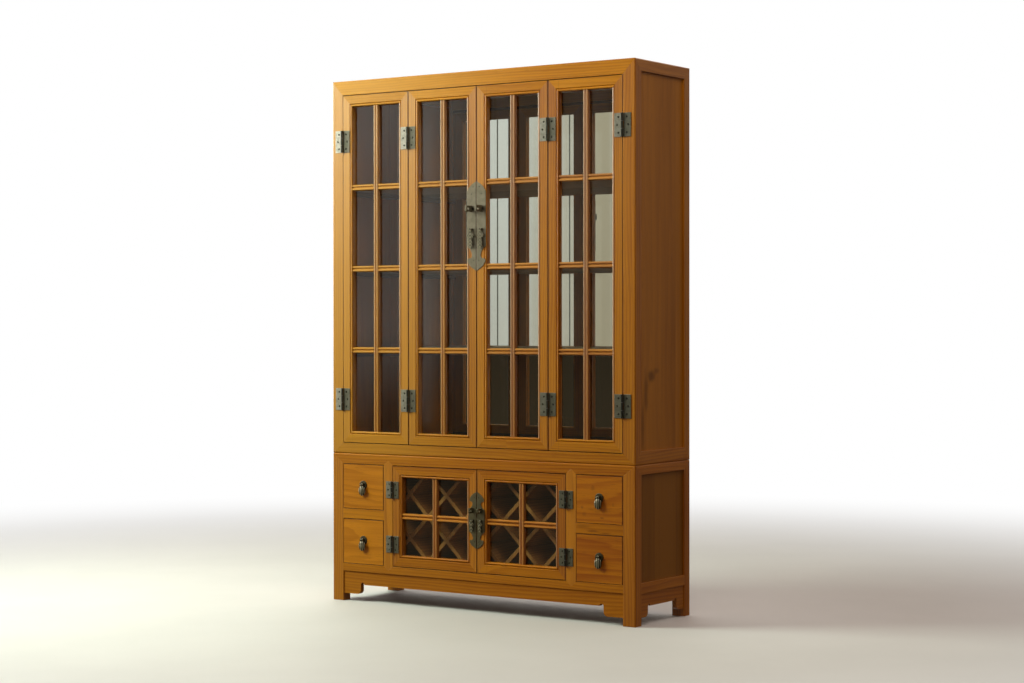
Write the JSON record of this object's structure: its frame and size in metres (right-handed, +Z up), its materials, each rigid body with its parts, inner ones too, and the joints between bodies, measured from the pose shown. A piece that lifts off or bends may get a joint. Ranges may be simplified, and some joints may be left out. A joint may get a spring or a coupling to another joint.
{
  "type": "kitchen cabinet",
  "caption": "Two-part wooden kitchen cabinet: glazed folding doors over a mirror-backed upper case, glazed doors, drawers and a bottle lattice below, on bracket feet.",
  "frame": {"origin": "on the floor, at the middle of the outline of the whole cabinet with its door hardware", "axes": "+X to the right seen from the front, +Y to the back, +Z up"},
  "size_m": [1.2, 0.374, 1.76],
  "materials": {
    "lacquered_wood": "honey-orange lacquer over straight grain, satin gloss",
    "panel_wood": "lacquered boards with arched grain and a few knots",
    "inner_wood": "thin brown stain, nearly matt",
    "drawer_wood": "lacquered front with level grain, plain sides",
    "old_brass": "old yellow brass, dulled brown-grey, rubbed bright on edges",
    "door_glass": "clear polished",
    "mirror_glass": "silvered glass"
  },
  "bodies": {
    "case": {"upper_posts": "lacquered_wood", "upper_rails": "lacquered_wood", "upper_side_panels": "panel_wood", "upper_back_mirror": "mirror_glass", "upper_boards": "inner_wood", "upper_shelves": "inner_wood", "cleats_and_door_stops": "inner_wood", "lower_posts": "lacquered_wood", "lower_rails": "lacquered_wood", "divider_uprights": "lacquered_wood", "lower_panels": "panel_wood", "lower_boards": "inner_wood", "drawer_runners": "inner_wood", "aprons": "lacquered_wood", "bottle_lattice": "inner_wood", "case_hinge_leaves": "old_brass"},
    "upper_left_outer_door": {"upper_left_outer_frame": "lacquered_wood", "upper_left_outer_glazing_bars": "lacquered_wood", "upper_left_outer_glass": "door_glass", "upper_left_outer_hinge_leaves": "old_brass"},
    "upper_left_inner_door": {"upper_left_inner_frame": "lacquered_wood", "upper_left_inner_glazing_bars": "lacquered_wood", "upper_left_inner_glass": "door_glass", "upper_left_inner_hinge_leaves": "old_brass", "upper_left_lock_plate": "old_brass"},
    "lower_left_door": {"lower_left_door_frame": "lacquered_wood", "lower_left_door_glazing_bars": "lacquered_wood", "lower_left_door_glass": "door_glass", "lower_left_door_hinge_leaves": "old_brass", "lower_left_lock_plate": "old_brass"},
    "upper_left_pendant": {"upper_left_pendant": "old_brass"},
    "lower_left_pendant": {"lower_left_pendant": "old_brass"},
    "lower_left_drawer": {"lower_left_drawer_box": "drawer_wood", "lower_left_drawer_rose": "old_brass"},
    "lower_left_drawer_drop": {"lower_left_drawer_drop": "old_brass"},
    "upper_left_drawer": {"upper_left_drawer_box": "drawer_wood", "upper_left_drawer_rose": "old_brass"},
    "upper_left_drawer_drop": {"upper_left_drawer_drop": "old_brass"},
    "upper_right_outer_door": {"upper_right_outer_frame": "lacquered_wood", "upper_right_outer_glazing_bars": "lacquered_wood", "upper_right_outer_glass": "door_glass", "upper_right_outer_hinge_leaves": "old_brass"},
    "upper_right_inner_door": {"upper_right_inner_frame": "lacquered_wood", "upper_right_inner_glazing_bars": "lacquered_wood", "upper_right_inner_glass": "door_glass", "upper_right_inner_hinge_leaves": "old_brass", "upper_right_lock_plate": "old_brass"},
    "lower_right_door": {"lower_right_door_frame": "lacquered_wood", "lower_right_door_glazing_bars": "lacquered_wood", "lower_right_door_glass": "door_glass", "lower_right_door_hinge_leaves": "old_brass", "lower_right_lock_plate": "old_brass"},
    "upper_right_pendant": {"upper_right_pendant": "old_brass"},
    "lower_right_pendant": {"lower_right_pendant": "old_brass"},
    "lower_right_drawer": {"lower_right_drawer_box": "drawer_wood", "lower_right_drawer_rose": "old_brass"},
    "lower_right_drawer_drop": {"lower_right_drawer_drop": "old_brass"},
    "upper_right_drawer": {"upper_right_drawer_box": "drawer_wood", "upper_right_drawer_rose": "old_brass"},
    "upper_right_drawer_drop": {"upper_right_drawer_drop": "old_brass"}
  },
  "joints": [
    {"name": "upper_left_outer_door_hinge", "type": "hinge", "parent": "case", "child": "upper_left_outer_door", "pos_m": [-0.555, -0.1578, 1.1235], "axis": [0, 0, -1], "range_deg": [0, 150]},
    {"name": "upper_left_inner_door_hinge", "type": "hinge", "parent": "upper_left_outer_door", "child": "upper_left_inner_door", "pos_m": [-0.2775, -0.1578, 1.1235], "axis": [0, 0, -1], "range_deg": [0, 150]},
    {"name": "lower_left_door_hinge", "type": "hinge", "parent": "case", "child": "lower_left_door", "pos_m": [-0.345, -0.1578, 0.2965], "axis": [0, 0, -1], "range_deg": [0, 95]},
    {"name": "upper_left_pendant_swing", "type": "hinge", "parent": "upper_left_inner_door", "child": "upper_left_pendant", "pos_m": [-0.0195, -0.1602, 1.245], "axis": [-1, 0, 0], "range_deg": [0, 90]},
    {"name": "lower_left_pendant_swing", "type": "hinge", "parent": "lower_left_door", "child": "lower_left_pendant", "pos_m": [-0.0165, -0.1602, 0.299], "axis": [-1, 0, 0], "range_deg": [0, 90]},
    {"name": "lower_left_drawer_slide", "type": "slide", "parent": "case", "child": "lower_left_drawer", "axis": [0, -1, 0], "range_m": [0, 0.2]},
    {"name": "lower_left_drawer_drop_swing", "type": "hinge", "parent": "lower_left_drawer", "child": "lower_left_drawer_drop", "pos_m": [-0.4685, -0.1614, 0.2115], "axis": [-1, 0, 0], "range_deg": [0, 90]},
    {"name": "upper_left_drawer_slide", "type": "slide", "parent": "case", "child": "upper_left_drawer", "axis": [0, -1, 0], "range_m": [0, 0.2]},
    {"name": "upper_left_drawer_drop_swing", "type": "hinge", "parent": "upper_left_drawer", "child": "upper_left_drawer_drop", "pos_m": [-0.4685, -0.1614, 0.3975], "axis": [-1, 0, 0], "range_deg": [0, 90]},
    {"name": "upper_right_outer_door_hinge", "type": "hinge", "parent": "case", "child": "upper_right_outer_door", "pos_m": [0.555, -0.1578, 1.1235], "axis": [0, 0, 1], "range_deg": [0, 150]},
    {"name": "upper_right_inner_door_hinge", "type": "hinge", "parent": "upper_right_outer_door", "child": "upper_right_inner_door", "pos_m": [0.2775, -0.1578, 1.1235], "axis": [0, 0, 1], "range_deg": [0, 150]},
    {"name": "lower_right_door_hinge", "type": "hinge", "parent": "case", "child": "lower_right_door", "pos_m": [0.345, -0.1578, 0.2965], "axis": [0, 0, 1], "range_deg": [0, 95]},
    {"name": "upper_right_pendant_swing", "type": "hinge", "parent": "upper_right_inner_door", "child": "upper_right_pendant", "pos_m": [0.0195, -0.1602, 1.245], "axis": [-1, 0, 0], "range_deg": [0, 90]},
    {"name": "lower_right_pendant_swing", "type": "hinge", "parent": "lower_right_door", "child": "lower_right_pendant", "pos_m": [0.0165, -0.1602, 0.299], "axis": [-1, 0, 0], "range_deg": [0, 90]},
    {"name": "lower_right_drawer_slide", "type": "slide", "parent": "case", "child": "lower_right_drawer", "axis": [0, -1, 0], "range_m": [0, 0.2]},
    {"name": "lower_right_drawer_drop_swing", "type": "hinge", "parent": "lower_right_drawer", "child": "lower_right_drawer_drop", "pos_m": [0.4685, -0.1614, 0.2115], "axis": [-1, 0, 0], "range_deg": [0, 90]},
    {"name": "upper_right_drawer_slide", "type": "slide", "parent": "case", "child": "upper_right_drawer", "axis": [0, -1, 0], "range_m": [0, 0.2]},
    {"name": "upper_right_drawer_drop_swing", "type": "hinge", "parent": "upper_right_drawer", "child": "upper_right_drawer_drop", "pos_m": [0.4685, -0.1614, 0.3975], "axis": [-1, 0, 0], "range_deg": [0, 90]}
  ]
}
